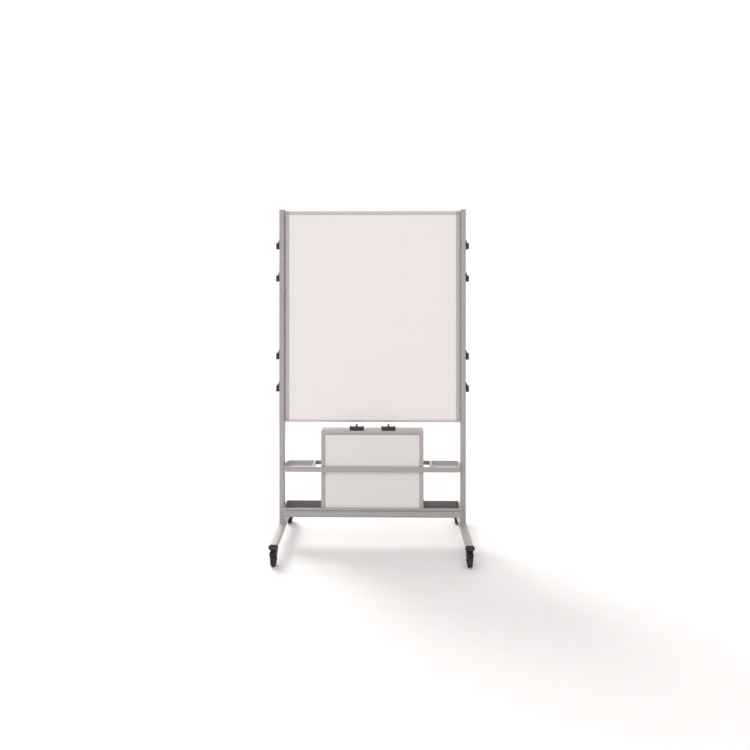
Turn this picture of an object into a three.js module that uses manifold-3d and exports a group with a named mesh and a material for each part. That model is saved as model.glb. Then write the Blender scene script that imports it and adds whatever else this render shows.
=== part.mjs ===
// A rolling whiteboard: a double-sided board between two posts on castored feet, with a rack
// and a tray below it that store four small boards.
// Units are millimetres. X runs across the board, -Y is the front, Z is up, and the origin is
// on the floor under the middle of the stand.
import * as THREE from "three";
import { mergeVertices } from "three/addons/utils/BufferGeometryUtils.js";
import Module from "manifold-3d";

const wasm = await Module();
wasm.setup();

// ---- Driving dimensions ----
const GAP = 0.3; // left between neighbouring pieces
const SIDES = [["left", -1], ["right", 1]];
const ENDS = [["front", -1], ["rear", 1]];

const POST = { x: 468, width: 26, depth: 50, radius: 5, wall: 1.5, top: 1722 };
const CAP_HEIGHT = 5.7;
const FOOT = { bottom: 78, top: 104, width: 40, radius: 11, wall: 2, end: 288.7 };
const END_CAP = { width: 46, bottom: 77.5, top: 104.5, inner: 289, outer: 294, radius: 12.5 };
const END_PLUG = { inner: 236, clearance: 0.3 };

const BOARD = { halfWidth: 452, bottom: 628.7, top: 1720.7, halfDepth: 12 };
const RAIL = { face: 20, grooveDepth: 8, grooveHalf: 8.8 };
const CORNER = { halfDepth: 12.3, radius: 6 };
const LUG = { heights: [820, 1540], halfDepth: 8, height: 30 };

const TRAY = { bottom: 153, top: 199.5, halfDepth: 59, halfWidth: 451.7, wall: 2 };
const TRAY_LIP = { height: 9, out: 3.5 };
const TRAY_TONGUE = { bottom: 136, halfDepth: 20, thickness: 4 };
const RACK = { bottom: 385, top: 410.5, halfDepth: 64, halfWidth: 453, wall: 5, radius: 25 };
const RACK_REAR_BOTTOM = 389;
const RACK_BOSS = { radius: 8, height: 398 };
const DIVIDER = { inner: 298, outer: 308, bottom: 392 };
const DISH = { bottom: 385.5, top: 408, wall: 1.7, innerRadius: 4 };

const HANGER = { heights: [803, 969, 1371, 1538], out: 16, halfHeight: 16, halfDepth: 20 };
const HANGER_TAB = { rise: 16, foot: [2, 9], tip: [0, 4], halfDepth: 8 };
const SOCKET = { near: 8, far: 13.5, halfDepth: 14, floor: -11 };

const SMALL = { count: 4, halfWidth: 261.5, bottom: 155.5, height: 438, thickness: 17.4, pitch: 22 };
const SMALL_FRAME = { face: 21, radius: 5, panelThickness: 12 };
const SMALL_FRONT = -56.4; // front face of the front small board
const CLIP = { x: 81, shift: 1.5, halfWidth: 36, body: 20, ear: 4.6, prong: 12, prongHalf: 5, depth: 14 };

const CASTER = { y: 258, trail: 22 };
const SHOULDER_STEPS = 2;
const WHEEL_SEGMENTS = 28;
const WHEEL = { radius: 31.5, halfWidth: 12, bore: 4.3, hub: 9, web: 24, recess: 4, shoulder: 5 };
const FORK = { inner: 12.9, outer: 14.8, crownBottom: 65, crownTop: 73, front: -49, back: 16 };
const FORK_BOSS = 9;
const SWIVEL_CUP = { radius: 15, top: 76.7 };
const STEM = { radius: 5.5, bottom: 64.2, top: 96.5 };
const AXLE = { radius: 4, headRadius: 5.5, headOut: 17 };
const PEDAL = { y: -44, z: 61, hub: 4, halfWidth: 12.5, tip: -53, tread: 3.4, studOut: 18 };

// ---- Materials ----
function material(color, roughness, metalness) {
  return new THREE.MeshStandardMaterial({ color, roughness, metalness });
}
const PAINT = material(0xb4b3b1, 0.45, 0.3);
const ALUMINIUM = material(0xc3c2c2, 0.35, 0.7);
const GREY_PLASTIC = material(0xb0afae, 0.5, 0);
const WHITE = material(0xf0eeec, 0.15, 0);
const BLACK_PLASTIC = material(0x2c2b2b, 0.55, 0);
const TYRE = material(0x222121, 0.8, 0);
const STEEL = material(0x9b9b9c, 0.3, 0.9);

// ---- Shapes and solids ----
function rounded(u0, v0, u1, v1, radius) {
  const shape = new THREE.Shape();
  const quarter = Math.PI / 2;
  shape.absarc(u1 - radius, v0 + radius, radius, -quarter, 0, false);
  shape.absarc(u1 - radius, v1 - radius, radius, 0, quarter, false);
  shape.absarc(u0 + radius, v1 - radius, radius, quarter, 2 * quarter, false);
  shape.absarc(u0 + radius, v0 + radius, radius, 2 * quarter, 3 * quarter, false);
  shape.closePath();
  return shape;
}

function polygon(points) {
  return new THREE.Shape(points.map(([u, v]) => new THREE.Vector2(u, v)));
}

function disc(u, v, radius) {
  return new THREE.Shape().absarc(u, v, radius, 0, 2 * Math.PI, false);
}

function withHole(shape, hole) {
  shape.holes.push(hole);
  return shape;
}

// Where a section's own u, v and length axes point for a prism along X, Y or Z.
const BASES = {
  x: new THREE.Matrix4().set(0, 0, 1, 0, 1, 0, 0, 0, 0, 1, 0, 0, 0, 0, 0, 1),
  y: new THREE.Matrix4().set(1, 0, 0, 0, 0, 0, -1, 0, 0, 1, 0, 0, 0, 0, 0, 1),
  z: new THREE.Matrix4(),
};

// The section (u, v) is (y, z) along x, (x, z) along y, and (x, y) along z.
function prism(shape, axis, from, to, curveSegments = 2) {
  const options = { depth: to - from, bevelEnabled: false, curveSegments };
  const geometry = new THREE.ExtrudeGeometry(shape, options);
  geometry.translate(0, 0, axis === "y" ? -to : from);
  return geometry.applyMatrix4(BASES[axis]);
}

function block(low, high) {
  const size = high.map((value, i) => value - low[i]);
  const centre = high.map((value, i) => (value + low[i]) / 2);
  return new THREE.BoxGeometry(...size).translate(...centre);
}

// A turned piece about Z from [radius, z] points.
function turned(points, segments) {
  const profile = points.map(([radius, z]) => new THREE.Vector2(radius, z));
  return new THREE.LatheGeometry(profile, segments).rotateX(Math.PI / 2);
}

function toSolid(geometry) {
  const bare = geometry.index ? geometry.toNonIndexed() : geometry;
  const points = new THREE.BufferGeometry();
  points.setAttribute("position", bare.getAttribute("position"));
  const merged = mergeVertices(points, 1e-3);
  const vertProperties = merged.attributes.position.array;
  const triVerts = new Uint32Array(merged.index.array);
  return new wasm.Manifold(new wasm.Mesh({ numProp: 3, vertProperties, triVerts }));
}

function toGeometry(solid) {
  const mesh = solid.getMesh();
  const geometry = new THREE.BufferGeometry();
  geometry.setAttribute("position", new THREE.BufferAttribute(mesh.vertProperties, 3));
  geometry.setIndex(new THREE.BufferAttribute(mesh.triVerts, 1));
  geometry.computeVertexNormals();
  return geometry;
}

function join(...geometries) {
  return toGeometry(geometries.map(toSolid).reduce((whole, solid) => whole.add(solid)));
}

function cut(geometry, ...tools) {
  return toGeometry(tools.map(toSolid).reduce((left, tool) => left.subtract(tool), toSolid(geometry)));
}

const stand = new THREE.Group();

function place(name, geometry, look, parent = stand) {
  const mesh = new THREE.Mesh(geometry, look);
  mesh.name = name;
  parent.add(mesh);
  return mesh;
}

// ---- Posts, caps and feet ----
function postSection(inset) {
  const halfWidth = POST.width / 2 - inset;
  const halfDepth = POST.depth / 2 - inset;
  return rounded(-halfWidth, -halfDepth, halfWidth, halfDepth, POST.radius - inset);
}

function footSection(inset) {
  const half = FOOT.width / 2 - inset;
  return rounded(-half, FOOT.bottom + inset, half, FOOT.top - inset, FOOT.radius - inset);
}

// The upright hole for a caster's stem, through a foot's lower wall and into its end plug.
function stemBore(endSign) {
  const section = disc(0, endSign * CASTER.y, STEM.radius + 2 * GAP);
  return prism(section, "z", FOOT.bottom - 1, STEM.top + 1.5, 8);
}

for (const [side, sign] of SIDES) {
  const upright = new THREE.Group();
  upright.position.x = sign * POST.x;
  stand.add(upright);
  const tube = withHole(postSection(0), postSection(POST.wall));
  place(`post_${side}`, prism(tube, "z", FOOT.top + GAP, POST.top), PAINT, upright);
  const capBottom = POST.top + GAP;
  const cap = prism(postSection(0), "z", capBottom, capBottom + CAP_HEIGHT);
  place(`post_cap_${side}`, cap, GREY_PLASTIC, upright);
  const foot = prism(withHole(footSection(0), footSection(FOOT.wall)), "y", -FOOT.end, FOOT.end);
  place(`foot_${side}`, cut(foot, ...ENDS.map(([, endSign]) => stemBore(endSign))), PAINT, upright);
  for (const [end, endSign] of ENDS) {
    const half = END_CAP.width / 2;
    const flange = rounded(-half, END_CAP.bottom, half, END_CAP.top, END_CAP.radius);
    const plug = footSection(FOOT.wall + END_PLUG.clearance);
    const between = (near, far) => [endSign * near, endSign * far].sort((a, b) => a - b);
    const cap = join(
      prism(flange, "y", ...between(END_CAP.inner, END_CAP.outer)),
      prism(plug, "y", ...between(END_PLUG.inner, END_CAP.inner + 1)),
    );
    place(`foot_end_${end}_${side}`, cut(cap, stemBore(endSign)), BLACK_PLASTIC, upright);
  }
}

// ---- Main board: panel, four rails and four corners ----
const postFace = POST.x - POST.width / 2 - GAP; // where pieces that bolt to a post end
const boardMiddle = (BOARD.bottom + BOARD.top) / 2;
const boardHalfHeight = (BOARD.top - BOARD.bottom) / 2;
const panelReach = RAIL.face - RAIL.grooveDepth + GAP; // from the board's outer edge to the panel's

// A rectangle with square notches at its corners, which leave room for the corner pieces.
function panelSection() {
  const halfWidth = BOARD.halfWidth - panelReach;
  const halfHeight = boardHalfHeight - panelReach;
  const notch = RAIL.face + GAP - panelReach;
  const corners = [[1, 1], [-1, 1], [-1, -1], [1, -1]];
  const points = corners.flatMap(([su, sv]) => {
    const outerFirst = [su * halfWidth, sv * (halfHeight - notch)];
    const inner = [su * (halfWidth - notch), sv * (halfHeight - notch)];
    const outerLast = [su * (halfWidth - notch), sv * halfHeight];
    const run = [outerFirst, inner, outerLast];
    return su * sv > 0 ? run : run.reverse();
  });
  return polygon(points.map(([u, v]) => [u, v + boardMiddle]));
}
const panelHalf = RAIL.grooveHalf - GAP;
place("board_panel", prism(panelSection(), "y", -panelHalf, panelHalf), WHITE);

// Rail section: u is the depth, v is 0 at the board's outer edge and grows towards its middle.
function railSection() {
  const { face, grooveDepth, grooveHalf } = RAIL;
  const half = BOARD.halfDepth;
  return polygon([
    [-half, 0],
    [half, 0],
    [half, face],
    [grooveHalf, face],
    [grooveHalf, face - grooveDepth],
    [-grooveHalf, face - grooveDepth],
    [-grooveHalf, face],
    [-half, face],
  ]);
}
const acrossHalf = BOARD.halfWidth - RAIL.face - GAP;
const uprightHalf = boardHalfHeight - RAIL.face - GAP;
const across = prism(railSection(), "x", -acrossHalf, acrossHalf);
place("board_rail_bottom", across, ALUMINIUM).position.z = BOARD.bottom;
const topRail = place("board_rail_top", across.clone(), ALUMINIUM);
topRail.rotation.x = Math.PI;
topRail.position.z = BOARD.top;

for (const [side, sign] of SIDES) {
  const rail = prism(railSection(), "x", -uprightHalf, uprightHalf);
  rail.rotateY((sign * -Math.PI) / 2);
  rail.translate(sign * BOARD.halfWidth, 0, boardMiddle);
  const lugs = LUG.heights.map((z) => {
    const xs = [sign * (BOARD.halfWidth - 1), sign * postFace].sort((a, b) => a - b);
    return block(
      [xs[0], -LUG.halfDepth, z - LUG.height / 2],
      [xs[1], LUG.halfDepth, z + LUG.height / 2],
    );
  });
  place(`board_rail_${side}`, join(rail, ...lugs), ALUMINIUM);
  for (const [level, up] of [["bottom", -1], ["top", 1]]) {
    const quarterTurn = new THREE.Shape();
    const { face } = RAIL;
    const { radius } = CORNER;
    quarterTurn.moveTo(0, 0);
    quarterTurn.lineTo(face, 0);
    quarterTurn.lineTo(face, face - radius);
    quarterTurn.absarc(face - radius, face - radius, radius, 0, Math.PI / 2, false);
    quarterTurn.lineTo(0, face);
    quarterTurn.closePath();
    const corner = prism(quarterTurn, "y", -CORNER.halfDepth, CORNER.halfDepth);
    const mesh = place(`board_corner_${level}_${side}`, corner, GREY_PLASTIC);
    const turns = up > 0 ? (sign > 0 ? 0 : -1) : sign > 0 ? 1 : 2;
    mesh.rotation.y = (turns * Math.PI) / 2;
    mesh.position.x = sign * (BOARD.halfWidth - face);
    mesh.position.z = boardMiddle + up * (boardHalfHeight - face);
  }
}

// ---- Bottom tray ----
function traySection() {
  const { bottom, top, halfDepth, wall } = TRAY;
  const { height, out } = TRAY_LIP;
  const half = [
    [halfDepth, bottom],
    [halfDepth, top - height - 0.5],
    [halfDepth + out, top - height],
    [halfDepth + out, top],
    [halfDepth - wall, top],
    [halfDepth - wall, bottom + wall],
  ];
  const mirrored = half.map(([u, v]) => [-u, v]).reverse();
  return polygon([...half, ...mirrored]);
}
const trayEnds = SIDES.flatMap(([, sign]) => {
  const span = (inner) => [sign * inner, sign * postFace].sort((a, b) => a - b);
  const [plateLow, plateHigh] = span(TRAY.halfWidth - TRAY.wall);
  const [tongueLow, tongueHigh] = span(postFace - TRAY_TONGUE.thickness);
  return [
    block([plateLow, -TRAY.halfDepth, TRAY.bottom], [plateHigh, TRAY.halfDepth, TRAY.top]),
    block(
      [tongueLow, -TRAY_TONGUE.halfDepth, TRAY_TONGUE.bottom],
      [tongueHigh, TRAY_TONGUE.halfDepth, TRAY.bottom + 1],
    ),
  ];
});
const trayChannel = prism(traySection(), "x", -TRAY.halfWidth, TRAY.halfWidth);
place("bottom_tray", join(trayChannel, ...trayEnds), PAINT);

// ---- Accessory rack: a ring with two dividers, and a pen tray in each end ----
function rackOutline(inset) {
  const halfWidth = RACK.halfWidth - inset;
  const halfDepth = RACK.halfDepth - inset;
  return rounded(-halfWidth, -halfDepth, halfWidth, halfDepth, RACK.radius - inset);
}
const ring = prism(withHole(rackOutline(0), rackOutline(RACK.wall)), "z", RACK.bottom, RACK.top, 4);
const rearRelief = block(
  [-RACK.halfWidth - 1, RACK.halfDepth - RACK.radius, RACK.bottom - 1],
  [RACK.halfWidth + 1, RACK.halfDepth + 1, RACK_REAR_BOTTOM],
);
const dividers = [-1, 1].map((sign) => {
  const [low, high] = [sign * DIVIDER.inner, sign * DIVIDER.outer].sort((a, b) => a - b);
  const reach = RACK.halfDepth - 1;
  return block([low, -reach, DIVIDER.bottom], [high, reach, RACK.top]);
});
const bosses = [-1, 1].map((sign) => {
  const [low, high] = [sign * (RACK.halfWidth - 1), sign * postFace].sort((a, b) => a - b);
  return prism(disc(0, RACK_BOSS.height, RACK_BOSS.radius), "x", low, high, 6);
});
place("accessory_rack", join(cut(ring, rearRelief), ...dividers, ...bosses), PAINT);

// The dish's outline for one side: wide rounding at the outer end, small at the divider.
function dishOutline(inset) {
  const inner = DIVIDER.outer + GAP + inset;
  const outer = RACK.halfWidth - RACK.wall - GAP - inset;
  const half = RACK.halfDepth - RACK.wall - GAP - inset;
  const small = DISH.innerRadius - inset;
  const large = RACK.radius - RACK.wall - GAP - inset;
  const quarter = Math.PI / 2;
  const shape = new THREE.Shape();
  shape.absarc(outer - large, -half + large, large, -quarter, 0, false);
  shape.absarc(outer - large, half - large, large, 0, quarter, false);
  shape.absarc(inner + small, half - small, small, quarter, 2 * quarter, false);
  shape.absarc(inner + small, -half + small, small, 2 * quarter, 3 * quarter, false);
  shape.closePath();
  return shape;
}
const dishHollow = prism(dishOutline(DISH.wall), "z", DISH.bottom + DISH.wall, DISH.top + 1);
const dish = cut(prism(dishOutline(0), "z", DISH.bottom, DISH.top), dishHollow);
place("pen_tray_right", dish, GREY_PLASTIC);
place("pen_tray_left", dish.clone(), GREY_PLASTIC).rotation.z = Math.PI;

// ---- Hangers on the posts' outer faces: a socket with an open top and a leaning guide tab ----
function hangerGeometry() {
  const { out, halfHeight, halfDepth } = HANGER;
  const { rise, foot, tip } = HANGER_TAB;
  const body = prism(rounded(0, -halfHeight, out, halfHeight, 3), "y", -halfDepth, halfDepth);
  const tabSection = polygon([
    [foot[0], halfHeight - 1],
    [foot[1], halfHeight - 1],
    [tip[1], halfHeight + rise],
    [tip[0], halfHeight + rise],
  ]);
  const tab = prism(tabSection, "y", -HANGER_TAB.halfDepth, HANGER_TAB.halfDepth);
  const socket = block(
    [SOCKET.near, -SOCKET.halfDepth, SOCKET.floor],
    [SOCKET.far, SOCKET.halfDepth, halfHeight + rise + 1],
  );
  return cut(join(body, tab), socket);
}
const hanger = hangerGeometry();
for (const [side, sign] of SIDES) {
  HANGER.heights.forEach((height, index) => {
    const mesh = place(`hanger_${side}_${index + 1}`, hanger.clone(), BLACK_PLASTIC);
    mesh.position.set(sign * (POST.x + POST.width / 2 + GAP), 0, height);
    mesh.rotation.z = sign > 0 ? 0 : Math.PI;
  });
}

// ---- Small boards, stored upright in the rack and standing in the bottom tray ----
const smallTop = SMALL.bottom + SMALL.height;
function smallOutline(inset, radius) {
  const halfWidth = SMALL.halfWidth - inset;
  return rounded(-halfWidth, SMALL.bottom + inset, halfWidth, smallTop - inset, radius);
}
for (let index = 0; index < SMALL.count; index += 1) {
  const front = SMALL_FRONT + index * SMALL.pitch;
  const back = front + SMALL.thickness;
  const middle = (front + back) / 2;
  const halfPanel = SMALL_FRAME.panelThickness / 2;
  const opening = smallOutline(SMALL_FRAME.face, 1);
  const frame = withHole(smallOutline(0, SMALL_FRAME.radius), opening);
  const panel = smallOutline(SMALL_FRAME.face + GAP, 1);
  place(`small_board_${index + 1}_frame`, prism(frame, "y", front, back), ALUMINIUM);
  const slab = prism(panel, "y", middle - halfPanel, middle + halfPanel);
  place(`small_board_${index + 1}_panel`, slab, WHITE);
}

// Clip on the top edge of the front small board: a long block with raised ends and a middle tongue.
function clipSection() {
  const { halfWidth, body, ear, prong, prongHalf } = CLIP;
  const half = [
    [halfWidth - 3, 0],
    [halfWidth, 4],
    [halfWidth, body + ear],
    [halfWidth - 3, body + ear],
    [halfWidth - 6, body],
    [prongHalf, body],
    [prongHalf, body + prong - 2],
    [prongHalf - 2, body + prong],
  ];
  const mirrored = half.map(([u, v]) => [-u, v]).reverse();
  return polygon([...half, ...mirrored]);
}
for (const [side, sign] of SIDES) {
  const front = SMALL_FRONT + (SMALL.thickness - CLIP.depth) / 2;
  const clip = prism(clipSection(), "y", front, front + CLIP.depth);
  const mesh = place(`small_board_clip_${side}`, clip, BLACK_PLASTIC);
  mesh.position.set(sign * CLIP.x + CLIP.shift, 0, smallTop + GAP);
}

// ---- Casters ----
// The wheel's profile is a closed loop: bore, hub, recessed web, tyre with rounded shoulders.
function wheelGeometry() {
  const { radius, halfWidth, bore, hub, web, recess, shoulder } = WHEEL;
  const face = halfWidth - recess;
  const half = [
    [bore, halfWidth],
    [hub, halfWidth],
    [hub + 1, face],
    [web, face],
  ];
  for (let step = 0; step <= SHOULDER_STEPS; step += 1) {
    const angle = (step / SHOULDER_STEPS) * (Math.PI / 2);
    const r = radius - shoulder + shoulder * Math.sin(angle);
    half.push([r, halfWidth - shoulder + shoulder * Math.cos(angle)]);
  }
  const lower = half.map(([r, h]) => [r, -h]);
  const loop = [...lower, ...half.reverse()];
  return turned([...loop, loop[0]], WHEEL_SEGMENTS).rotateY(Math.PI / 2);
}

// The fork: a crown plate and bearing cup over the wheel, and a cheek down each side to the axle.
function forkGeometry() {
  const { inner, outer, crownBottom, crownTop, front, back } = FORK;
  const cheek = new THREE.Shape();
  cheek.moveTo(back, crownTop);
  cheek.lineTo(front, crownTop);
  cheek.lineTo(front, PEDAL.z - 5);
  cheek.lineTo(-CASTER.trail - FORK_BOSS, WHEEL.radius);
  cheek.absarc(-CASTER.trail, WHEEL.radius, FORK_BOSS, Math.PI, 2 * Math.PI, false);
  cheek.lineTo(back, crownBottom - 8);
  cheek.closePath();
  const cheeks = [-1, 1].map((sign) => {
    const [low, high] = [sign * inner, sign * outer].sort((a, b) => a - b);
    return prism(cheek, "x", low, high, 4);
  });
  const crown = block([-inner - 1, -2 * back, crownBottom], [inner + 1, back, crownTop]);
  const cup = prism(disc(0, 0, SWIVEL_CUP.radius), "z", crownTop - 1, SWIVEL_CUP.top, 8);
  const stemHole = prism(disc(0, 0, STEM.radius + GAP), "z", crownBottom - 1, SWIVEL_CUP.top + 1, 8);
  const through = outer + 1;
  const axleSection = disc(-CASTER.trail, WHEEL.radius, AXLE.radius + GAP);
  const pinSection = disc(PEDAL.y, PEDAL.z, PEDAL.hub / 2 + GAP);
  const axleHole = prism(axleSection, "x", -through, through, 6);
  const pinHole = prism(pinSection, "x", -through, through, 5);
  return cut(join(crown, cup, ...cheeks), stemHole, axleHole, pinHole);
}

// The brake pedal: a hub over the wheel's tread, pivot studs through the fork's cheeks, and a tread plate.
function pedalGeometry() {
  const { y, z, hub, halfWidth, tip, tread, studOut } = PEDAL;
  const barrel = prism(disc(y, z, hub), "x", -halfWidth, halfWidth, 5);
  const studs = prism(disc(y, z, hub / 2), "x", -studOut, studOut, 5);
  const plate = polygon([
    [y, z + hub],
    [y, z + hub - tread],
    [tip, z + hub - 1.5 - tread],
    [tip, z + hub - 1.5],
  ]);
  return join(barrel, studs, prism(plate, "x", -halfWidth, halfWidth));
}

const stemGeometry = turned(
  [
    [0, STEM.bottom],
    [STEM.radius, STEM.bottom],
    [STEM.radius, STEM.top - 2],
    [STEM.radius - 1.5, STEM.top],
    [0, STEM.top],
  ],
  16,
);
const headFace = FORK.outer + GAP;
const axleGeometry = turned(
  [
    [0, -AXLE.headOut],
    [AXLE.headRadius, -AXLE.headOut],
    [AXLE.headRadius, -headFace],
    [AXLE.radius, -headFace],
    [AXLE.radius, headFace],
    [AXLE.headRadius, headFace],
    [AXLE.headRadius, AXLE.headOut],
    [0, AXLE.headOut],
  ],
  12,
).rotateY(Math.PI / 2);

for (const [end, endSign] of ENDS) {
  for (const [side, sign] of SIDES) {
    const caster = new THREE.Group();
    caster.position.set(sign * POST.x, endSign * CASTER.y, 0);
    caster.rotation.z = endSign < 0 ? 0 : Math.PI;
    stand.add(caster);
    const name = `caster_${end}_${side}`;
    place(`${name}_fork`, forkGeometry(), BLACK_PLASTIC, caster);
    place(`${name}_stem`, stemGeometry.clone(), STEEL, caster);
    const axle = place(`${name}_axle`, axleGeometry.clone(), STEEL, caster);
    const wheel = place(`${name}_wheel`, wheelGeometry(), TYRE, caster);
    for (const turning of [axle, wheel]) turning.position.set(0, -CASTER.trail, WHEEL.radius);
    if (end === "front") place(`brake_pedal_${side}`, pedalGeometry(), BLACK_PLASTIC, caster);
  }
}

export default stand;
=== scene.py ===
import math

import bmesh
import bpy
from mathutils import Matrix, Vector


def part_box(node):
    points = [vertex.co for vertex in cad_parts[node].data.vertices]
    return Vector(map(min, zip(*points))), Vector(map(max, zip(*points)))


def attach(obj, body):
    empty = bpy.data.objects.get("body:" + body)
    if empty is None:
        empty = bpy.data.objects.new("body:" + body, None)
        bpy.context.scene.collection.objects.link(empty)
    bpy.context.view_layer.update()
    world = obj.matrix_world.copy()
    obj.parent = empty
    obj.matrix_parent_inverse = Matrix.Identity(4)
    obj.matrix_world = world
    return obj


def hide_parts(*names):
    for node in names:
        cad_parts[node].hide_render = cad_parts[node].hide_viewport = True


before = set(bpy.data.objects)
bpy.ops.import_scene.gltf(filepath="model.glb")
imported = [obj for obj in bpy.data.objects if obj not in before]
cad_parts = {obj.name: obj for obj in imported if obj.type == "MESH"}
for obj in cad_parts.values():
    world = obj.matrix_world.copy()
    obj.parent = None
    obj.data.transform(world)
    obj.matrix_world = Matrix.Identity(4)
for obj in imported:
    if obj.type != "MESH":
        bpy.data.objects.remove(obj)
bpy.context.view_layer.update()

MM = 0.001
SIDES = (("left", -1), ("right", 1))
ENDS = (("front", -1), ("rear", 1))


# ---------------------------------------------------------------- camera, light, floor
EYE = (0.059, -3.5, 1.389)  # 3.5 m in front of the board, at standing height
TURN = 0.75  # degrees to the left


def add_camera():
    """A level camera whose lens is shifted down, so that the posts stay upright in its picture."""
    data = bpy.data.cameras.new("camera")
    data.sensor_width = 36
    data.lens = 32.4
    data.shift_y = -0.1333
    data.clip_end = 200
    camera = bpy.data.objects.new("camera", data)
    camera.location = EYE
    camera.rotation_euler = (math.radians(90), 0, math.radians(TURN))
    bpy.context.scene.collection.objects.link(camera)
    bpy.context.scene.camera = camera


def add_sun(name, direction, strength, angle, colour):
    data = bpy.data.lights.new(name, "SUN")
    data.energy = strength
    data.angle = math.radians(angle)
    data.color = colour
    sun = bpy.data.objects.new(name, data)
    sun.rotation_euler = Vector(direction).to_track_quat("-Z", "Y").to_euler()
    bpy.context.scene.collection.objects.link(sun)


def add_softbox(name, place, target, size, power, colour):
    data = bpy.data.lights.new(name, "AREA")
    data.shape = "RECTANGLE"
    data.size, data.size_y = size
    data.energy = power
    data.color = colour
    light = bpy.data.objects.new(name, data)
    light.location = place
    light.rotation_euler = (Vector(target) - Vector(place)).to_track_quat("-Z", "Y").to_euler()
    bpy.context.scene.collection.objects.link(light)


def add_backdrop():
    """A white studio that is dimmer to the left and right than in front and behind."""
    world = bpy.data.worlds.new("studio")
    world.use_nodes = True
    tree = world.node_tree
    backdrop = tree.nodes["Background"]
    backdrop.inputs["Strength"].default_value = 1.0
    direction = node(tree, "ShaderNodeTexCoord")
    parts = node(tree, "ShaderNodeSeparateXYZ")
    tree.links.new(direction.outputs["Generated"], parts.inputs["Vector"])
    sideways = node(tree, "ShaderNodeMath", operation="ABSOLUTE")
    tree.links.new(parts.outputs["X"], sideways.inputs[0])
    tone = node(tree, "ShaderNodeValToRGB")
    tone.color_ramp.interpolation = "EASE"
    tone.color_ramp.elements[0].position = 0.5
    tone.color_ramp.elements[1].position = 0.95
    tone.color_ramp.elements[0].color = (1.03, 1.012, 1.008, 1)
    tone.color_ramp.elements[1].color = (0.6, 0.585, 0.58, 1)
    tree.links.new(sideways.outputs[0], tone.inputs["Fac"])
    tree.links.new(tone.outputs["Color"], backdrop.inputs["Color"])
    bpy.context.scene.world = world


FLOOR_REACH = 60


def add_floor():
    mesh = bpy.data.meshes.new("floor")
    signs = ((-1, -1), (1, -1), (1, 1), (-1, 1))
    mesh.from_pydata([(x * FLOOR_REACH, y * FLOOR_REACH, 0) for x, y in signs], [], [(0, 1, 2, 3)])
    floor = bpy.data.objects.new("floor", mesh)
    floor.data.materials.append(finish("studio_floor", (0.61, 0.602, 0.6), 0.65, grain=40, mottle=0.01))
    bpy.context.scene.collection.objects.link(floor)


def add_surroundings():
    add_backdrop()
    bpy.context.scene.view_settings.view_transform = "Standard"
    add_sun("key_behind_left", (0.55, -0.75, -1.0), 1.5, 24, (1.0, 0.985, 0.97))
    add_sun("top_front", (0.1, 0.6, -1.0), 0.85, 40, (1.0, 0.985, 0.975))
    add_sun("overhead", (0.1, -0.08, -1.0), 0.6, 50, (1.0, 0.985, 0.975))
    add_softbox("fill_behind_left", (-1.7, 1.5, 1.6), (-0.3, 0, 0.1), (1.4, 1.4), 32, (1.0, 0.98, 0.97))
    add_floor()


# ---------------------------------------------------------------- materials
def node(tree, kind, **settings):
    made = tree.nodes.new(kind)
    for name, value in settings.items():
        if name in made.inputs:
            made.inputs[name].default_value = value
        else:
            setattr(made, name, value)
    return made


def noise(tree, scale, stretch=(1, 1, 1), detail=3.0):
    """A noise in the piece's own metres: scale is about one over the size of a spot."""
    place = tree.nodes.new("ShaderNodeTexCoord")
    mapping = node(tree, "ShaderNodeMapping", Scale=stretch)
    texture = node(tree, "ShaderNodeTexNoise", Scale=scale, Detail=detail)
    tree.links.new(place.outputs["Object"], mapping.inputs["Vector"])
    tree.links.new(mapping.outputs["Vector"], texture.inputs["Vector"])
    return texture.outputs["Fac"]


def spread(tree, factor, low, high):
    """The noise as numbers from low to high."""
    ranged = node(tree, "ShaderNodeMapRange")
    ranged.inputs["From Min"].default_value = 0.3
    ranged.inputs["From Max"].default_value = 0.7
    ranged.inputs["To Min"].default_value = low
    ranged.inputs["To Max"].default_value = high
    tree.links.new(factor, ranged.inputs["Value"])
    return ranged.outputs["Result"]


def finish(name, colour, roughness, metallic=0.0, grain=900, mottle=0.03, bump=0.0,
           depth=0.05, stretch=(1, 1, 1), rough_swing=0.06, patch=14):
    """A procedural finish: broad patches of tone, fine grain in roughness and in the bump."""
    material = bpy.data.materials.new(name)
    material.use_nodes = True
    tree = material.node_tree
    shader = tree.nodes["Principled BSDF"]
    shader.inputs["Metallic"].default_value = metallic
    tone = node(tree, "ShaderNodeValToRGB")
    tone.color_ramp.elements[0].position = 0.3
    tone.color_ramp.elements[1].position = 0.7
    for element, factor in zip(tone.color_ramp.elements, (1 - mottle, 1 + mottle)):
        element.color = (*[min(1, c * factor) for c in colour], 1)
    tree.links.new(noise(tree, patch, stretch), tone.inputs["Fac"])
    tree.links.new(tone.outputs["Color"], shader.inputs["Base Color"])
    fine = noise(tree, grain, stretch)
    swing = spread(tree, fine, roughness - rough_swing, roughness + rough_swing)
    tree.links.new(swing, shader.inputs["Roughness"])
    if bump:
        relief = node(tree, "ShaderNodeBump", Strength=bump, Distance=depth * MM)
        tree.links.new(fine, relief.inputs["Height"])
        tree.links.new(relief.outputs["Normal"], shader.inputs["Normal"])
    return material


BRUSH = 0.02  # how much slower a brushed or drawn finish changes along its length
ALONG = {"x": (BRUSH, 1, 1), "z": (1, 1, BRUSH)}


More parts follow.
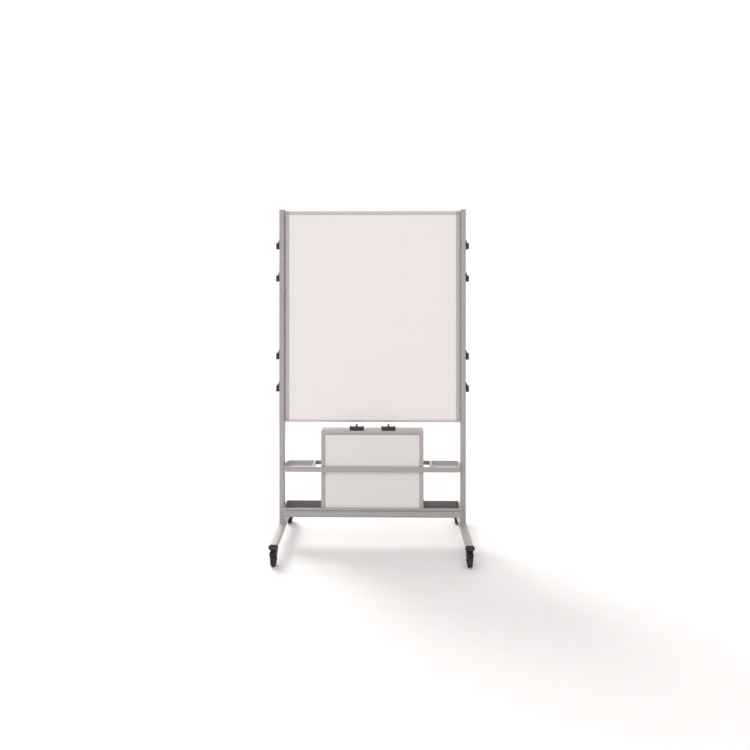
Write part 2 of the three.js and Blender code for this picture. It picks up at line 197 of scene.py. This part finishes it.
def make_materials():
    made = {
        "paint": finish("powder_coated_frame", (0.343, 0.322, 0.317), 0.42, 0.15, grain=1400,
                        mottle=0.025, bump=0.25, depth=0.12),
        "tray_paint": finish("powder_coated_sheet", (0.352, 0.331, 0.326), 0.45, 0.1, grain=1400,
                             mottle=0.03, bump=0.25, depth=0.12),
        "grey": finish("grey_moulding", (0.385, 0.362, 0.356), 0.5, grain=1800, mottle=0.02, bump=0.2),
        "pen_tray": finish("pen_tray_moulding", (0.4, 0.377, 0.37), 0.5, grain=1800, mottle=0.025,
                           bump=0.2),
        # painted shade: darker paint for the shadow line under the bottom tray's lip and the shade along
        # its bottom edge
        "painted_shade_line": finish("painted_shadow_lines", (0.24, 0.228, 0.224), 0.5, grain=1400, mottle=0.04, bump=0.2),
        # painted shade: darker paint for the inner faces of the tray and rack walls, where shade falls
        "painted_shade_facing": finish("painted_inner_shade", (0.2, 0.19, 0.187), 0.55, grain=1400, mottle=0.04,
                         bump=0.2),
        "black": finish("black_moulding", (0.017, 0.0152, 0.0148), 0.5, grain=1600, mottle=0.12,
                        bump=0.35, depth=0.08, rough_swing=0.1),
        "tyre": finish("wheel_tyre", (0.012, 0.0112, 0.0112), 0.72, grain=700, mottle=0.2, bump=0.3,
                       depth=0.1),
        "black_bolt": finish("blackened_steel", (0.05, 0.05, 0.052), 0.38, 0.8, grain=900,
                             mottle=0.15, bump=0.1),
        "steel": finish("zinc_plated_steel", (0.45, 0.45, 0.455), 0.32, 0.9, grain=1200,
                        mottle=0.06, bump=0.1),
        "board": writing_surface("white_enamel", (0.727, 0.686, 0.672, 1), (0.735, 0.694, 0.68, 1)),
        "small_board": writing_surface("white_laminate", (0.635, 0.61, 0.592, 1),
                                       (0.645, 0.62, 0.602, 1)),
    }
    # The vertical rails take a darker tone than the horizontal ones: painted shade, as the side rails
    # are lit less.
    for kind, axis, tone in (("x", "x", 0.93), ("z", "z", 0.81), ("small", "x", 0.7)):
        colour = (0.55 * tone, 0.52 * tone, 0.515 * tone)
        made[f"aluminium_{kind}"] = finish(
            f"anodised_aluminium_{kind}", colour, 0.36, 0.35, grain=2400, mottle=0.03, bump=0.18,
            depth=0.04, stretch=ALONG[axis], rough_swing=0.07, patch=160)
    return made


def writing_surface(name, low, high):
    """White enamel between two tones, with a low gloss haze where an eraser has wiped across it."""
    material = bpy.data.materials.new(name)
    material.use_nodes = True
    tree = material.node_tree
    shader = tree.nodes["Principled BSDF"]
    shader.inputs["Coat Weight"].default_value = 0.25
    shader.inputs["Coat Roughness"].default_value = 0.06
    tone = node(tree, "ShaderNodeValToRGB")
    tone.color_ramp.elements[0].position = 0.35
    tone.color_ramp.elements[1].position = 0.75
    tone.color_ramp.elements[0].color = low
    tone.color_ramp.elements[1].color = high
    tree.links.new(noise(tree, 5, (1, 1, 0.6), 5), tone.inputs["Fac"])
    tree.links.new(tone.outputs["Color"], shader.inputs["Base Color"])
    wiped = spread(tree, noise(tree, 9, (0.35, 1, 2.2), 6), 0.28, 0.3)
    tree.links.new(wiped, shader.inputs["Roughness"])
    relief = node(tree, "ShaderNodeBump", Strength=0.02, Distance=0.02 * MM)
    tree.links.new(noise(tree, 700), relief.inputs["Height"])
    tree.links.new(relief.outputs["Normal"], shader.inputs["Normal"])
    return material


# ---------------------------------------------------------------- mesh tools
def outline(half_u, half_v, radius, centre=(0, 0), steps=8):
    """A rounded rectangle as a list of (u, v), anticlockwise."""
    points = []
    for quarter, (su, sv) in enumerate(((1, 1), (-1, 1), (-1, -1), (1, -1))):
        for step in range(steps + 1):
            angle = math.radians(90 * (quarter + step / steps))
            u = centre[0] + su * (half_u - radius) + radius * math.cos(angle)
            v = centre[1] + sv * (half_v - radius) + radius * math.sin(angle)
            points.append((u, v))
    return points


def at(axis, u, v, w):
    """A point from its place in a section (u, v) and its place w along the axis."""
    return {"x": (w, u, v), "y": (u, w, v), "z": (u, v, w)}[axis]


def loft(bm, rings, looped=False):
    """Skins rings of equal count; looped joins the last to the first, else both ends are capped."""
    made = [[bm.verts.new(point) for point in ring] for ring in rings]
    count = len(made[0])
    pairs = list(zip(made, made[1:] + made[:1])) if looped else list(zip(made, made[1:]))
    for low, high in pairs:
        for i in range(count):
            j = (i + 1) % count
            bm.faces.new((low[i], low[j], high[j], high[i]))
    if not looped:
        bm.faces.new(made[0][::-1])
        bm.faces.new(made[-1])


def section_rings(axis, sections):
    """Rings from (outline points, place along the axis) pairs."""
    return [[at(axis, u, v, w) for u, v in points] for points, w in sections]


def spun_rings(axis, centre, profile, count):
    """Rings about an axis through centre from (radius, place along the axis) pairs."""
    axes = {"x": (1, 2, 0), "y": (0, 2, 1), "z": (0, 1, 2)}[axis]
    rings = []
    for radius, w in profile:
        ring = []
        for i in range(count):
            angle = 2 * math.pi * i / count
            point = list(centre)
            point[axes[0]] += radius * math.cos(angle)
            point[axes[1]] += radius * math.sin(angle)
            point[axes[2]] += w
            ring.append(tuple(point))
        rings.append(ring)
    return rings


def prism(bm, axis, points, low, high):
    loft(bm, section_rings(axis, [(points, low), (points, high)]))


SMOOTH_BELOW = math.radians(32)  # a made piece shades smoothly over edges flatter than this
BEVEL_ABOVE = math.radians(30)  # edges sharper than this are rounded, or split where there is no bevel


def shade(mesh):
    mesh.polygons.foreach_set("use_smooth", [True] * len(mesh.polygons))
    mesh.set_sharp_from_angle(angle=SMOOTH_BELOW)


def soften(target, width, segments=3):
    """Rounds the sharp edges and evens the shading of the flat faces between them."""
    bevel = target.modifiers.new("edges", "BEVEL")
    bevel.width = width
    bevel.segments = segments
    bevel.limit_method = "ANGLE"
    bevel.angle_limit = BEVEL_ABOVE
    bevel.harden_normals = True
    normals = target.modifiers.new("normals", "WEIGHTED_NORMAL")
    normals.keep_sharp = True


def piece(name, bm, body, material, replaces=(), bevel=0.0):
    """Makes an object of the mesh, gives it a finish, and rides it on its body."""
    bmesh.ops.recalc_face_normals(bm, faces=bm.faces)
    mesh = bpy.data.meshes.new(name)
    bm.to_mesh(mesh)
    bm.free()
    shade(mesh)
    made = bpy.data.objects.new(name, mesh)
    bpy.context.scene.collection.objects.link(made)
    made.data.materials.append(material)
    if bevel:
        soften(made, bevel)
    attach(made, body)
    if replaces:
        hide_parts(*replaces)


def dress(name, material, bevel, segments=3, merge=False):
    """Gives a CAD node its finish and rounds its edges with modifiers; its mesh stays as packed.
    With merge, flat areas become single faces first, which suits only faces without holes."""
    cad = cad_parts[name]
    cad.data.materials.clear()
    cad.data.materials.append(material)
    cad.data.polygons.foreach_set("material_index", [0] * len(cad.data.polygons))
    cad.data.polygons.foreach_set("use_smooth", [True] * len(cad.data.polygons))
    weld = cad.modifiers.new("weld", "WELD")
    weld.merge_threshold = 0.02 * MM
    if merge:
        flat = cad.modifiers.new("flat_faces", "DECIMATE")
        flat.decimate_type = "DISSOLVE"
        flat.angle_limit = math.radians(1)
    if bevel:
        soften(cad, bevel, segments)
    else:
        creases = cad.modifiers.new("creases", "EDGE_SPLIT")
        creases.split_angle = BEVEL_ABOVE
        cad.modifiers.new("normals", "WEIGHTED_NORMAL")


# ---------------------------------------------------------------- posts and feet
POST_RADIUS = 5 * MM
FOOT_RADIUS = 12.5  # of the end cap's outer edge, in millimetres
SCREW_RADIUS, SCREW_HEAD = 5.2, 2.4  # millimetres
SCREW_HEIGHTS = {"rack": (398 * MM,), "tray": (182 * MM, 144 * MM)}


def post_outline(box, inset=0.0, steps=8):
    """A post's section, drawn in by inset."""
    low, high = box
    middle = ((low.x + high.x) / 2, (low.y + high.y) / 2)
    half = ((high.x - low.x) / 2 - inset, (high.y - low.y) / 2 - inset)
    return outline(*half, max(POST_RADIUS - inset, 0.5 * MM), middle, steps)


def post_cap(side):
    """A plug with a shadow line under its rim and a softly domed top."""
    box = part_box(f"post_cap_{side}")
    low, high = box[0].z, box[1].z
    round_over = 2.2 * MM
    neck = post_outline(box, 1.2 * MM)
    sections = [(neck, low - 0.2 * MM), (neck, low + 0.7 * MM), (post_outline(box), low + 0.8 * MM)]
    for step in range(5):
        angle = math.radians(90 * step / 4)
        inset = round_over * (1 - math.cos(angle))
        sections.append((post_outline(box, inset), high - round_over * (1 - math.sin(angle)) - 0.4 * MM))
    sections.append((post_outline(box, 7 * MM), high))
    bm = bmesh.new()
    loft(bm, section_rings("z", sections))
    piece(f"post_cap_{side}_moulding", bm, "frame", MATERIALS["grey"],
          [f"post_cap_{side}"])


def weld_bead(side):
    """The rippled fillet where a post is welded to its foot."""
    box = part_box(f"post_{side}")
    foot_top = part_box(f"foot_{side}")[1].z
    rings = []
    for lift, out in ((0, 3.4), (0.9, 2.9), (1.9, 1.6), (3.2, 0.25), (3.3, -0.4), (0, -0.4)):
        points = post_outline(box, -out * MM, 12)
        ring = []
        for i, (u, v) in enumerate(points):
            ripple = 0.22 * MM * math.sin(i * 2.1) if out > 1 else 0
            ring.append((u, v, foot_top + lift * MM + ripple * (lift > 0)))
        rings.append(ring)
    bm = bmesh.new()
    loft(bm, rings, looped=True)
    piece(f"weld_bead_{side}", bm, "frame", MATERIALS["paint"])


def foot_fitting(end, sign, side):
    """The black end cap of a foot: a rim with a rounded face around a shallow panel, and its plug."""
    name = f"foot_end_{end}_{side}"
    low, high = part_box(name)
    middle = ((low.x + high.x) / 2, (low.z + high.z) / 2)
    half = ((high.x - low.x) / 2, (high.z - low.z) / 2)
    outer = high.y if sign > 0 else low.y
    stations = [(5.0, 0.6), (4.6, 0.1), (2.2, 0)]
    for step in range(1, 6):
        angle = math.radians(18 * step)
        stations.append((2.2 - 2.2 * math.sin(angle), 2.2 * (1 - math.cos(angle))))
    stations += [(0, 5.2), (0.5, 5.7), (0.5, 7)]
    rings = []
    for depth, inset in stations:
        grown = [h - inset * MM for h in half]
        points = outline(*grown, (FOOT_RADIUS - inset) * MM, middle, 10)
        rings.append([at("y", u, v, outer - sign * depth * MM) for u, v in points])
    bm = bmesh.new()
    loft(bm, rings)
    for near, far in ((4.9, 18), (33, 51)):
        ends = sorted((outer - sign * near * MM, outer - sign * far * MM))
        prism(bm, "y", outline(17.7 * MM, 10.7 * MM, 8.7 * MM, middle), *ends)
    piece(f"foot_cap_{end}_{side}", bm, "frame", MATERIALS["black"], [name])


def screw(name, x, sign, z):
    """A button-head screw with a hexagon socket, on a face whose normal is sign times +X."""
    radius, height = SCREW_RADIUS, SCREW_HEAD
    head = ((radius, -0.4), (radius, 0.5), (radius * 0.93, 1.1), (radius * 0.72, height * 0.85),
            (radius * 0.52, height))
    socket = ((radius * 0.46, height * 0.93), (radius * 0.44, height * 0.35))
    count = 36
    rings = []
    for index, (r, out) in enumerate(head + socket):
        ring = []
        for i in range(count):
            angle = 2 * math.pi * i / count
            within = (angle % math.radians(60)) - math.radians(30)
            in_socket = index >= len(head)
            reach = r * math.cos(math.radians(30)) / math.cos(within) if in_socket else r
            ring.append((x + sign * out * MM, reach * MM * math.cos(angle),
                         z + reach * MM * math.sin(angle)))
        rings.append(ring)
    bm = bmesh.new()
    loft(bm, rings)
    piece(name, bm, "frame", MATERIALS["steel"])


def posts_and_feet():
    for side, sign in SIDES:
        dress(f"post_{side}", MATERIALS["paint"], 0.6 * MM)
        dress(f"foot_{side}", MATERIALS["paint"], 0)
        post_cap(side)
        weld_bead(side)
        for end, end_sign in ENDS:
            foot_fitting(end, end_sign, side)
        low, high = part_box(f"post_{side}")
        face = high.x if sign > 0 else low.x
        for where, heights in SCREW_HEIGHTS.items():
            for index, height in enumerate(heights):
                screw(f"{where}_screw_{side}_{index + 1}", face, sign, height)


# ---------------------------------------------------------------- main board
PANEL_GROOVE = (8.8 * MM, 8 * MM)  # half its width, and its depth
RAIL_EDGE = 3 * MM
LUG_HEIGHTS = (820 * MM, 1540 * MM)


def rail_profile(half, face):
    """The rail's section (depth, distance in from the board's outer edge): a rounded outer edge,
    a flat face, then an inner lip that slopes back to the panel."""
    groove_half, groove_depth = PANEL_GROOVE
    lip = half - 2.6 * MM
    side = [(half - RAIL_EDGE, 0)]
    for step in range(1, 5):
        angle = math.radians(90 * step / 4)
        side.append((half - RAIL_EDGE * (1 - math.sin(angle)), RAIL_EDGE * (1 - math.cos(angle))))
    side += [(half, face * 0.62), (half - 0.5 * MM, face * 0.66), (lip, face - 0.6 * MM),
             (lip - 0.5 * MM, face), (groove_half, face), (groove_half, face - groove_depth)]
    return side + [(-d, v) for d, v in reversed(side)]


def board_rails():
    low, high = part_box("board_rail_bottom")
    half = high.y
    face = high.z - low.z
    board_low = low.z
    board_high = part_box("board_rail_top")[1].z
    board_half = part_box("board_corner_top_right")[1].x
    profile = rail_profile(half, face)
    x_span = (low.x, high.x)
    side_low, side_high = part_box("board_rail_right")
    z_span = (side_low.z, side_high.z)

    def rail(name, place, span, axis):
        bm = bmesh.new()
        loft(bm, [[place(d, v, w) for d, v in profile] for w in span])
        piece(f"{name}_extrusion", bm, "frame", MATERIALS[f"aluminium_{axis}"],
              [name])

    rail("board_rail_bottom", lambda d, v, w: (w, d, board_low + v), x_span, "x")
    rail("board_rail_top", lambda d, v, w: (w, d, board_high - v), x_span, "x")
    for side, sign in SIDES:
        name = f"board_rail_{side}"
        rail(name, lambda d, v, w, sign=sign: (sign * (board_half - v), d, w), z_span, "z")
        post_face = max(abs(c.x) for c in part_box(name))
        for index, height in enumerate(LUG_HEIGHTS):
            bm = bmesh.new()
            points = outline(8 * MM, 15 * MM, 3 * MM, (0, height))
            ends = sorted((sign * (board_half - 0.5 * MM), sign * post_face))
            prism(bm, "x", points, *ends)
            piece(f"board_spacer_{side}_{index + 1}", bm, "frame",
                  MATERIALS["aluminium_z"], bevel=0.5 * MM)


def main_board():
    dress("board_panel", MATERIALS["board"], 0)
    board_rails()
    for level in ("top", "bottom"):
        for side, _ in SIDES:
            dress(f"board_corner_{level}_{side}", MATERIALS["grey"], 1.6 * MM, 4, True)


# ---------------------------------------------------------------- rack, trays
TRAY_CORNER = 4 * MM  # at the end that meets the divider
RACK_CORNER = 19.7 * MM  # at the end that follows the rack's rounded corner


def pen_tray(side, sign):
    """A moulded dish: rolled rim, straight walls and a floor with a wide fillet."""
    name = f"pen_tray_{side}"
    low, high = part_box(name)
    middle = ((low.x + high.x) / 2, (low.y + high.y) / 2)
    half = ((high.x - low.x) / 2, (high.y - low.y) / 2)
    wall = 1.7 * MM

    def ring(inset, z):
        sides = (half[0] - inset, half[1] - inset)
        tight = outline(*sides, max(TRAY_CORNER - inset, 0.8 * MM), (0, 0), 6)
        wide = outline(*sides, max(RACK_CORNER - inset, 2 * MM), (0, 0), 6)
        mixed = [far if sign * far[0] > 0 else near for near, far in zip(tight, wide)]
        return [(middle[0] + u, middle[1] + v, z) for u, v in mixed]

    outside = ((5, 0), (2.2, 0), (0.7, 0.5), (0.1, 2))
    rim = ((0.1, 1.2), (0.4, 0.3), (0.9, 0), (1.4, 0.3))
    rings = [ring(inset * MM, low.z + lift * MM) for inset, lift in outside]
    rings += [ring(inset * MM, high.z - drop * MM) for inset, drop in rim]
    rings.append(ring(wall, high.z - 1.2 * MM))
    floor = low.z + wall
    fillet = 5 * MM
    for step in range(6):
        angle = math.radians(90 * step / 5)
        rings.append(ring(wall + fillet * (1 - math.cos(angle)), floor + fillet * (1 - math.sin(angle))))
    rings.append(ring(wall + fillet + 1.5 * MM, floor))
    bm = bmesh.new()
    loft(bm, rings)
    piece(f"{name}_moulding", bm, "frame", MATERIALS["pen_tray"], [name])


def painted_shade_facing(name, low, high, material="painted_shade_facing"):
    """A thin darker facing on a wall, between two corners: painted shade, used for the walls' inner
    faces and for the tray's shadow lines.
    """
    bm = bmesh.new()
    corners = [(low[0], low[2]), (high[0], low[2]), (high[0], high[2]), (low[0], high[2])]
    prism(bm, "y", corners, low[1], high[1])
    piece(name, bm, "frame", MATERIALS[material])


TRAY_FLOOR = 155.2 * MM
# Darker strips on the bottom tray's outer faces, painted shade: a shadow line under the lip, and shade
# along the bottom edge.
TRAY_STRIPS = (("painted_shade_line", 183.5 * MM, 189.4 * MM), ("painted_bottom_shade", 153.6 * MM, 157 * MM))
RACK_MIDDLE = 297 * MM  # half the length between the rack's dividers, less a small gap
RACK_PAINTED_SHADE_BOTTOM = 390 * MM


def rack_and_trays():
    """The rack and the bottom tray, with painted shade: a darker facing on their walls' inner faces, and
    darker strips under the bottom tray's lip and along its bottom edge.
    """
    _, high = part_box("bottom_tray")
    reach = high.x - 5.3 * MM
    for end, sign in ENDS:
        wall = sign * (high.y - 5.5 * MM)
        near, far = sorted((wall - sign * 0.3 * MM, wall - sign * 0.05 * MM))
        # painted shade on the inner face of each tray wall
        painted_shade_facing(f"bottom_tray_painted_shade_{end}", (-reach, near, TRAY_FLOOR), (reach, far, high.z - 0.8 * MM))
        face = sign * (high.y - 3.5 * MM)
        near, far = sorted((face + sign * 0.02 * MM, face + sign * 0.2 * MM))
        # painted shadow lines on the tray wall's outer face
        for where, bottom, top in TRAY_STRIPS:
            painted_shade_facing(f"bottom_tray_{where}_{end}", (-reach, near, bottom), (reach, far, top), "painted_shade_line")
    _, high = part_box("accessory_rack")
    wall = high.y - 5 * MM
    # painted shade on the inner face of the rack's rear wall, between its dividers
    painted_shade_facing("rack_painted_shade", (-RACK_MIDDLE, wall - 0.3 * MM, RACK_PAINTED_SHADE_BOTTOM),
           (RACK_MIDDLE, wall - 0.05 * MM, high.z - 0.8 * MM))
    dress("accessory_rack", MATERIALS["paint"], 0.7 * MM)
    dress("bottom_tray", MATERIALS["tray_paint"], 0.5 * MM)
    for side, sign in SIDES:
        pen_tray(side, sign)


# ---------------------------------------------------------------- small boards
SMALL_FACE = 21 * MM


def small_board(index):
    name = f"small_board_{index}"
    low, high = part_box(f"{name}_frame")
    middle = (0, (low.z + high.z) / 2)
    half = (high.x, (high.z - low.z) / 2)
    depth = (high.y - low.y) / 2
    centre = (high.y + low.y) / 2

    def ring(inset, out):
        points = outline(half[0] - inset, half[1] - inset, max(5 * MM - inset, 0.6 * MM), middle, 4)
        return [at("y", u, v, centre + out) for u, v in points]

    front = [(0, -depth + 2.4 * MM), (0.35 * MM, -depth + 1.0 * MM), (1.1 * MM, -depth + 0.25 * MM),
             (2.2 * MM, -depth), (SMALL_FACE * 0.62, -depth), (SMALL_FACE * 0.66, -depth + 0.5 * MM),
             (SMALL_FACE - 0.5 * MM, -depth + 2.0 * MM), (SMALL_FACE, -depth + 2.5 * MM)]
    back = [(inset, -out) for inset, out in reversed(front)]
    bm = bmesh.new()
    loft(bm, [ring(inset, out) for inset, out in front + back], looped=True)
    piece(f"{name}_extrusion", bm, name, MATERIALS["aluminium_small"],
          [f"{name}_frame"])
    dress(f"{name}_panel", MATERIALS["small_board"], 0)
    small_corners(name, half, middle, centre, depth)


def small_corners(name, half, middle, centre, depth):
    """Four thin moulded corner shoes, a touch proud of the rails they cover."""
    proud = 0.12 * MM
    shoe = SMALL_FACE / 2
    sections = [(inset * MM, out * MM) for inset, out in ((0.9, 0), (0.25, 0.25), (0, 0.9))]
    places = [(inset, -depth - proud + out) for inset, out in sections]
    places += [(inset, depth + proud - out) for inset, out in reversed(sections)]
    bm = bmesh.new()
    for su in (-1, 1):
        for sv in (-1, 1):
            corner = (su * (half[0] + proud - shoe), middle[1] + sv * (half[1] + proud - shoe))
            rings = []
            for inset, out in places:
                points = outline(shoe - inset, shoe - inset, 4 * MM, corner, 4)
                rings.append([at("y", u, v, centre + out) for u, v in points])
            loft(bm, rings)
    piece(f"{name}_corners", bm, name, MATERIALS["grey"])


def clip(side):
    """The clip on the front small board, with a raised pad on each side of its tongue."""
    name = f"small_board_clip_{side}"
    dress(name, MATERIALS["black"], 1.1 * MM, 3, True)
    low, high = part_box(name)
    middle = (low.x + high.x) / 2
    bm = bmesh.new()
    for face, sign in ((low.y, -1), (high.y, 1)):
        for su in (-1, 1):
            rings = []
            for inset, out in ((0, -0.3), (0, 0.35), (0.25, 0.6), (0.8, 0.75)):
                points = outline(11 * MM - inset * MM, 4.6 * MM - inset * MM, 3 * MM,
                                 (middle + su * 17.5 * MM, low.z + 10.5 * MM), 5)
                rings.append([at("y", u, v, face + sign * out * MM) for u, v in points])
            loft(bm, rings)
    piece(f"{name}_pads", bm, "small_board_1", MATERIALS["black"])


def small_boards():
    for index in range(1, 5):
        small_board(index)
    for side, _ in SIDES:
        clip(side)


# ---------------------------------------------------------------- hangers
def hanger(side, sign, index):
    """A post hanger: the CAD moulding softened, with three ribs on each of its ends."""
    name = f"hanger_{side}_{index}"
    dress(name, MATERIALS["black"], 1.0 * MM, 3)
    low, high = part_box(name)
    face = low.x if sign > 0 else high.x
    middle = high.z - 27 * MM
    bm = bmesh.new()
    for sv in (-1, 1):
        edge = low.y if sv < 0 else high.y
        for rib in (4, 9, 14):
            points = outline(0.8 * MM, 9 * MM, 0.7 * MM, (face + sign * rib * MM, middle - 1 * MM), 3)
            ends = sorted((edge - sv * 0.3 * MM, edge + sv * 0.7 * MM))
            prism(bm, "y", points, *ends)
    piece(f"{name}_ribs", bm, "frame", MATERIALS["black"], bevel=0.2 * MM)


def hangers():
    for side, sign in SIDES:
        for index in range(1, 5):
            hanger(side, sign, index)


# ---------------------------------------------------------------- casters
TREAD_SEGMENTS = 72
FORK_INNER, FORK_OUTER = 12.9 * MM, 14.8 * MM
FORK_BACK, FORK_FRONT = 16 * MM, 49 * MM  # from the swivel's axis
FORK_NOSE = 6 * MM
AXLE_BOSS = 9 * MM
HOOD_OUTER, HOOD_INNER = 36.3 * MM, 33.6 * MM


def wheel(name, body):
    low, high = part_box(f"{name}_wheel")
    centre = (low + high) / 2
    radius = (high.z - low.z) / 2
    half = (high.x - low.x) / 2
    shoulder = 5 * MM
    core = 22.5 * MM
    profile = [(core, -half + 1.2 * MM), (core + 1.2 * MM, -half + 0.2 * MM)]
    arc = []
    for step in range(7):
        angle = math.radians(90 * step / 6)
        arc.append((radius - shoulder * (1 - math.sin(angle)), -half + shoulder * (1 - math.cos(angle))))
    groove = [(radius, -3.2 * MM), (radius - 0.5 * MM, -2.8 * MM), (radius - 0.5 * MM, -2.2 * MM),
              (radius, -1.8 * MM)]
    profile += arc + groove
    profile += [(r, -w) for r, w in reversed(profile)]
    bm = bmesh.new()
    loft(bm, spun_rings("x", centre, profile, TREAD_SEGMENTS), looped=True)
    piece(f"{name}_tyre", bm, body, MATERIALS["tyre"], [f"{name}_wheel"])

    side_profile = [(4.3, 11.6), (8.2, 11.6), (9, 10.8), (9.8, 7.2), (11, 6.4), (19, 6.0), (20.4, 7.0),
                    (21, 10.2), (21.6, 10.8), (22.4, 10.8)]
    hub = [(r * MM, w * MM) for r, w in side_profile]
    hub += [(r, -w) for r, w in reversed(hub)]
    bm = bmesh.new()
    loft(bm, spun_rings("x", centre, hub, TREAD_SEGMENTS), looped=True)
    for spoke in range(6):
        angle = math.radians(60 * spoke + 30)
        along = Vector((0, math.cos(angle), math.sin(angle)))
        across = Vector((0, -math.sin(angle), math.cos(angle)))
        rings = []
        for reach in (9 * MM, 20.8 * MM):
            wide = 1.5 * MM
            ring = []
            for w, side in ((-9.6, -1), (-10, -0.7), (-10, 0.7), (-9.6, 1),
                            (9.6, 1), (10, 0.7), (10, -0.7), (9.6, -1)):
                point = centre + along * reach + across * wide * side
                ring.append((point.x + w * MM, point.y, point.z))
            rings.append(ring)
        loft(bm, rings)
    piece(f"{name}_hub", bm, body, MATERIALS["black"], [f"{name}_wheel"])


def axle(name, body):
    """A bolt with a hexagon head on one side of the fork and a nut on the other."""
    low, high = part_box(f"{name}_axle")
    centre = (low + high) / 2
    bm = bmesh.new()
    loft(bm, spun_rings("x", centre, [(4 * MM, -15.4 * MM), (4 * MM, 15.4 * MM)], 32))
    reach = (high.x - low.x) / 2
    inner = 15.2 * MM
    for sign in (-1, 1):
        hexagon = [(5.1, inner), (5.5, inner + 0.3 * MM), (5.5, reach - 0.5 * MM), (4.9, reach)]
        profile = [(r * MM, sign * w) for r, w in hexagon]
        loft(bm, spun_rings("x", centre, profile, 6))
    piece(f"{name}_bolt", bm, body, MATERIALS["black_bolt"], [f"{name}_axle"])


def fork(name, body, sign):
    """The caster's housing: two cheeks, a hood over the wheel, a crown and a turned bearing cup."""
    _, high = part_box(f"{name}_fork")
    axle_low, axle_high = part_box(f"{name}_axle")
    hub = (axle_low + axle_high) / 2
    stem_low, stem_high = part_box(f"{name}_stem")
    swivel = (stem_low + stem_high) / 2
    crown_top = high.z - 3.7 * MM
    back = swivel.y - sign * FORK_BACK
    front = swivel.y + sign * FORK_FRONT
    cheek = [(back, crown_top)]
    for step in range(7):
        angle = math.radians(15 * step)
        cheek.append((front - sign * FORK_NOSE * (1 - math.sin(angle)),
                      crown_top - FORK_NOSE * (1 - math.cos(angle))))
    cheek.append((front, crown_top - 17 * MM))
    for step in range(13):
        angle = math.radians(180 * step / 12)
        cheek.append((hub.y + sign * AXLE_BOSS * math.cos(angle), hub.z - AXLE_BOSS * math.sin(angle)))
    cheek.append((back, crown_top - 16 * MM))
    bm = bmesh.new()
    for side in (-1, 1):
        ends = sorted((swivel.x + side * FORK_INNER, swivel.x + side * FORK_OUTER))
        prism(bm, "x", cheek, *ends)
        boss_profile = [(AXLE_BOSS - 1 * MM, side * (FORK_OUTER - 0.5 * MM)),
                        (AXLE_BOSS - 1 * MM, side * (FORK_OUTER + 0.15 * MM)),
                        (AXLE_BOSS - 1.6 * MM, side * (FORK_OUTER + 0.25 * MM))]
        loft(bm, spun_rings("x", Vector((swivel.x, hub.y, hub.z)), boss_profile, 40))
    inside = FORK_INNER + 0.4 * MM
    crown = outline(inside, 24 * MM, 4 * MM, (swivel.x, swivel.y + sign * 8 * MM))
    prism(bm, "z", crown, crown_top - 8 * MM, crown_top)
    hood = []
    for radius, order in ((HOOD_OUTER, range(13)), (HOOD_INNER, range(12, -1, -1))):
        for step in order:
            angle = math.radians(68 + 55 * step / 12)
            hood.append((hub.y + sign * radius * math.cos(angle), hub.z + radius * math.sin(angle)))
    prism(bm, "x", hood, swivel.x - inside, swivel.x + inside)
    cup = [(15, -1), (15, 2.2), (14.4, 2.9), (12.5, 3.2), (12.2, 3.7), (6, 3.7)]
    cup_profile = [(r * MM, w * MM) for r, w in cup]
    loft(bm, spun_rings("z", Vector((swivel.x, swivel.y, crown_top)), cup_profile, 48))
    piece(f"{name}_housing", bm, body, MATERIALS["black"], [f"{name}_fork"],
          bevel=0.7 * MM)


def brake_pedal(side):
    """The CAD pedal softened, with grip ribs across its tread."""
    name = f"brake_pedal_{side}"
    dress(name, MATERIALS["black"], 0.7 * MM, 2, True)
    low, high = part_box(name)
    middle = (low.x + high.x) / 2
    bm = bmesh.new()
    slope = 1.5 / 9
    for rib in (1.8, 4.2, 6.6):
        y = low.y + rib * MM
        z = 63.3 * MM + rib * slope * MM
        points = outline(0.7 * MM, 0.9 * MM, 0.6 * MM, (y, z), 3)
        prism(bm, "x", points, middle - 10.5 * MM, middle + 10.5 * MM)
    piece(f"{name}_grip", bm, name, MATERIALS["black"])


def casters():
    for end, sign in ENDS:
        for side, _ in SIDES:
            name = f"caster_{end}_{side}"
            swivel = f"{name}_swivel"
            fork(name, swivel, sign)
            axle(name, swivel)
            dress(f"{name}_stem", MATERIALS["steel"], 0.2 * MM)
            wheel(name, f"{name}_wheel")
            if end == "front":
                brake_pedal(side)


# ---------------------------------------------------------------- everything
add_camera()
add_surroundings()
MATERIALS = make_materials()
posts_and_feet()
main_board()
rack_and_trays()
small_boards()
hangers()
casters()
